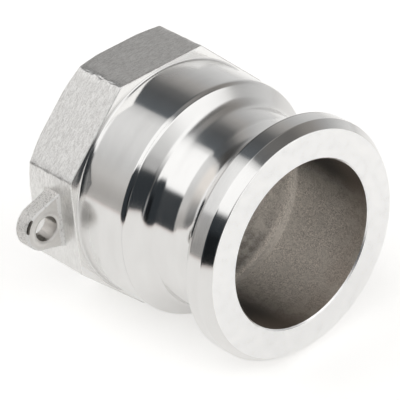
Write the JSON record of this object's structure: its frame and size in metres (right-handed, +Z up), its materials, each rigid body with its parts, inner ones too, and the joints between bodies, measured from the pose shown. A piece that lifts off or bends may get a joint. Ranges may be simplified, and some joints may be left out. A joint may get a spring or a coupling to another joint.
{
  "type": "cam and groove pipe adapter",
  "caption": "Male cam-and-groove hose coupling end on an octagonal wrench section with a female pipe thread and a chain lug, in cast stainless steel.",
  "frame": {"origin": "centre of the wrench flat that the part lies on, under the lug's left; the centre line is 27.2 mm above it", "axes": "+X along the centre line, out of the coupling end; +Z up, from the flat it lies on to the opposite flat; the chain lug points along -Y"},
  "size_m": [0.0541, 0.064, 0.0544],
  "materials": {
    "cast_stainless_steel": "turned and polished on the coupling end and the barrel, satin cast skin on the wrench section, the lug and the bore"
  },
  "bodies": {
    "root": {"adapter_body": "cast_stainless_steel"}
  },
  "joints": []
}
